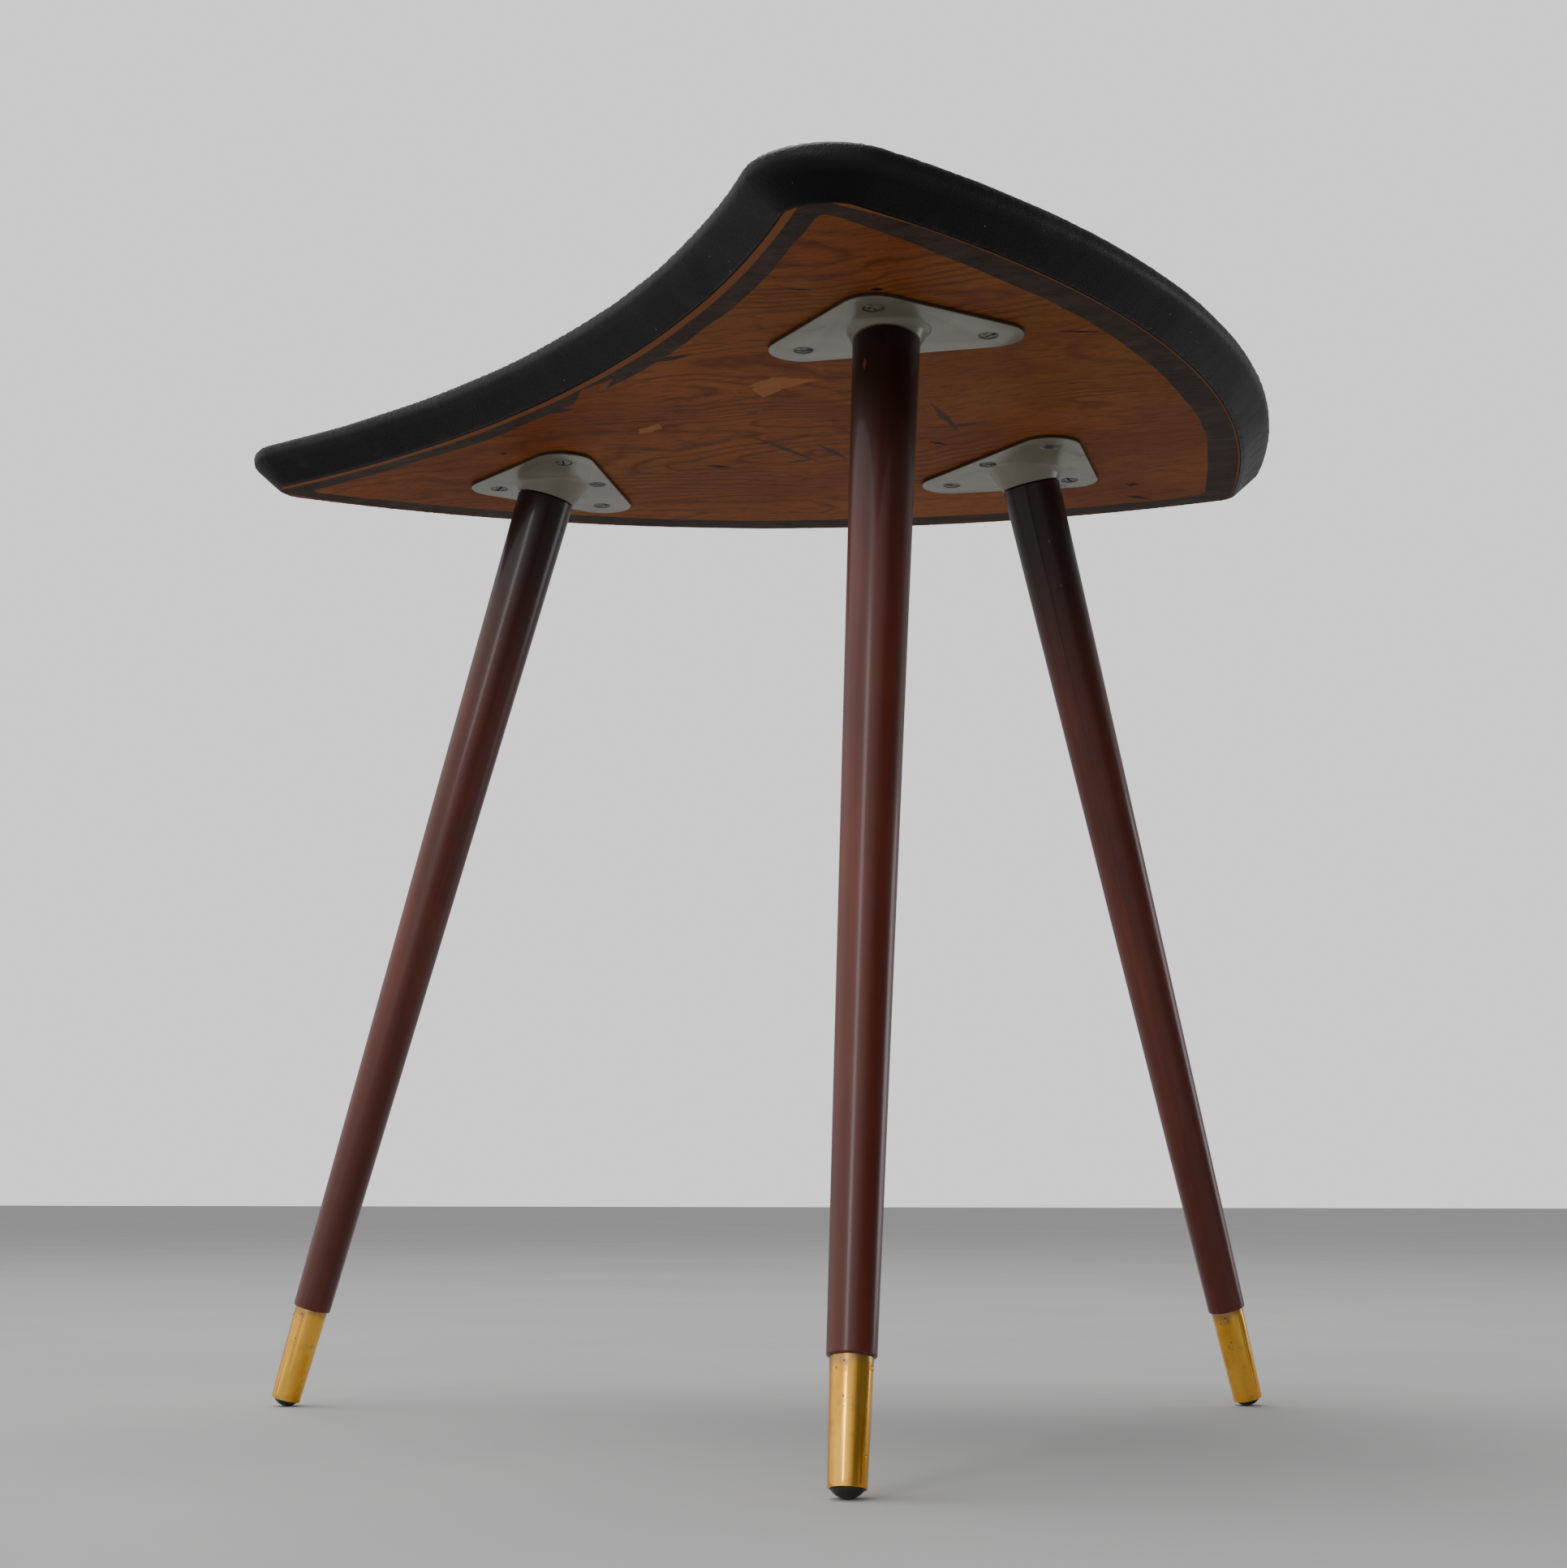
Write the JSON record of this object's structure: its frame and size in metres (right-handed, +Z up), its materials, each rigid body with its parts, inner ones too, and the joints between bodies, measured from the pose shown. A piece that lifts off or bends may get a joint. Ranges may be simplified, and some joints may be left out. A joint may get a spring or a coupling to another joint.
{
  "type": "three leg stool",
  "caption": "Low stool with a padded palette-shaped plywood seat, splayed turned screw-in legs on pressed plates, brass ferrules and domed glides.",
  "frame": {"origin": "on the floor, under the middle of the seat's outer edge box", "axes": "+Z up, +X to the right corner of the seat, the narrow nose of the seat to -Y"},
  "size_m": [0.5552, 0.5246, 0.5117],
  "materials": {
    "leathercloth": "satin black leathercloth, scuffed along the edge",
    "seat_felt": "felt and foam, hidden",
    "board_plywood": "raw plywood edge",
    "underside_veneer": "bare rotary-cut veneer with a dark stained rim",
    "plate_enamel": "grey-white enamel, chipped",
    "screw_steel": "painted over steel, dark slots",
    "zinc_steel": "dull zinc",
    "leg_wood": "dark mahogany stain under clear lacquer",
    "brass": "tarnished polished brass",
    "glide_plastic": "dark brown-black, scuffed"
  },
  "bodies": {
    "seat": {"seat_board": "board_plywood", "underside_veneer": "underside_veneer", "seat_padding": "seat_felt", "seat_cover": "leathercloth", "leg_plate_left": "plate_enamel", "leg_nut_left": "zinc_steel", "leg_screws_left": "screw_steel", "leg_plate_front": "plate_enamel", "leg_nut_front": "zinc_steel", "leg_screws_front": "screw_steel", "leg_plate_right": "plate_enamel", "leg_nut_right": "zinc_steel", "leg_screws_right": "screw_steel"},
    "bolt_left": {"hanger_bolt_left": "zinc_steel"},
    "leg_left": {"leg_left": "leg_wood", "ferrule_left": "brass", "ferrule_pin_left": "brass", "foot_glide_left": "glide_plastic"},
    "bolt_front": {"hanger_bolt_front": "zinc_steel"},
    "leg_front": {"leg_front": "leg_wood", "ferrule_front": "brass", "ferrule_pin_front": "brass", "foot_glide_front": "glide_plastic"},
    "bolt_right": {"hanger_bolt_right": "zinc_steel"},
    "leg_right": {"leg_right": "leg_wood", "ferrule_right": "brass", "ferrule_pin_right": "brass", "foot_glide_right": "glide_plastic"}
  },
  "joints": [
    {"name": "left_thread_travel", "type": "slide", "parent": "seat", "child": "bolt_left", "axis": [-0.261, 0.0391, -0.9646], "range_m": [0, 0.01]},
    {"name": "left_leg_unscrew", "type": "hinge", "parent": "bolt_left", "child": "leg_left", "pos_m": [-0.11277, 0.15179, 0.49162], "axis": [-0.261, 0.0391, -0.9646], "range_deg": [0, 2880]},
    {"name": "front_thread_travel", "type": "slide", "parent": "seat", "child": "bolt_front", "axis": [-0.0435, -0.2603, -0.9646], "range_m": [0, 0.01]},
    {"name": "front_leg_unscrew", "type": "hinge", "parent": "bolt_front", "child": "leg_front", "pos_m": [0.06006, -0.10444, 0.49162], "axis": [-0.0435, -0.2603, -0.9646], "range_deg": [0, 2880]},
    {"name": "right_thread_travel", "type": "slide", "parent": "seat", "child": "bolt_right", "axis": [0.2301, 0.1291, -0.9646], "range_m": [0, 0.01]},
    {"name": "right_leg_unscrew", "type": "hinge", "parent": "bolt_right", "child": "leg_right", "pos_m": [0.14375, 0.12199, 0.49162], "axis": [0.2301, 0.1291, -0.9646], "range_deg": [0, 2880]}
  ],
  "couplings": [
    {"joint": "left_thread_travel", "follows": "left_leg_unscrew", "m_per_rad": 0.00019894},
    {"joint": "front_thread_travel", "follows": "front_leg_unscrew", "m_per_rad": 0.00019894},
    {"joint": "right_thread_travel", "follows": "right_leg_unscrew", "m_per_rad": 0.00019894}
  ]
}
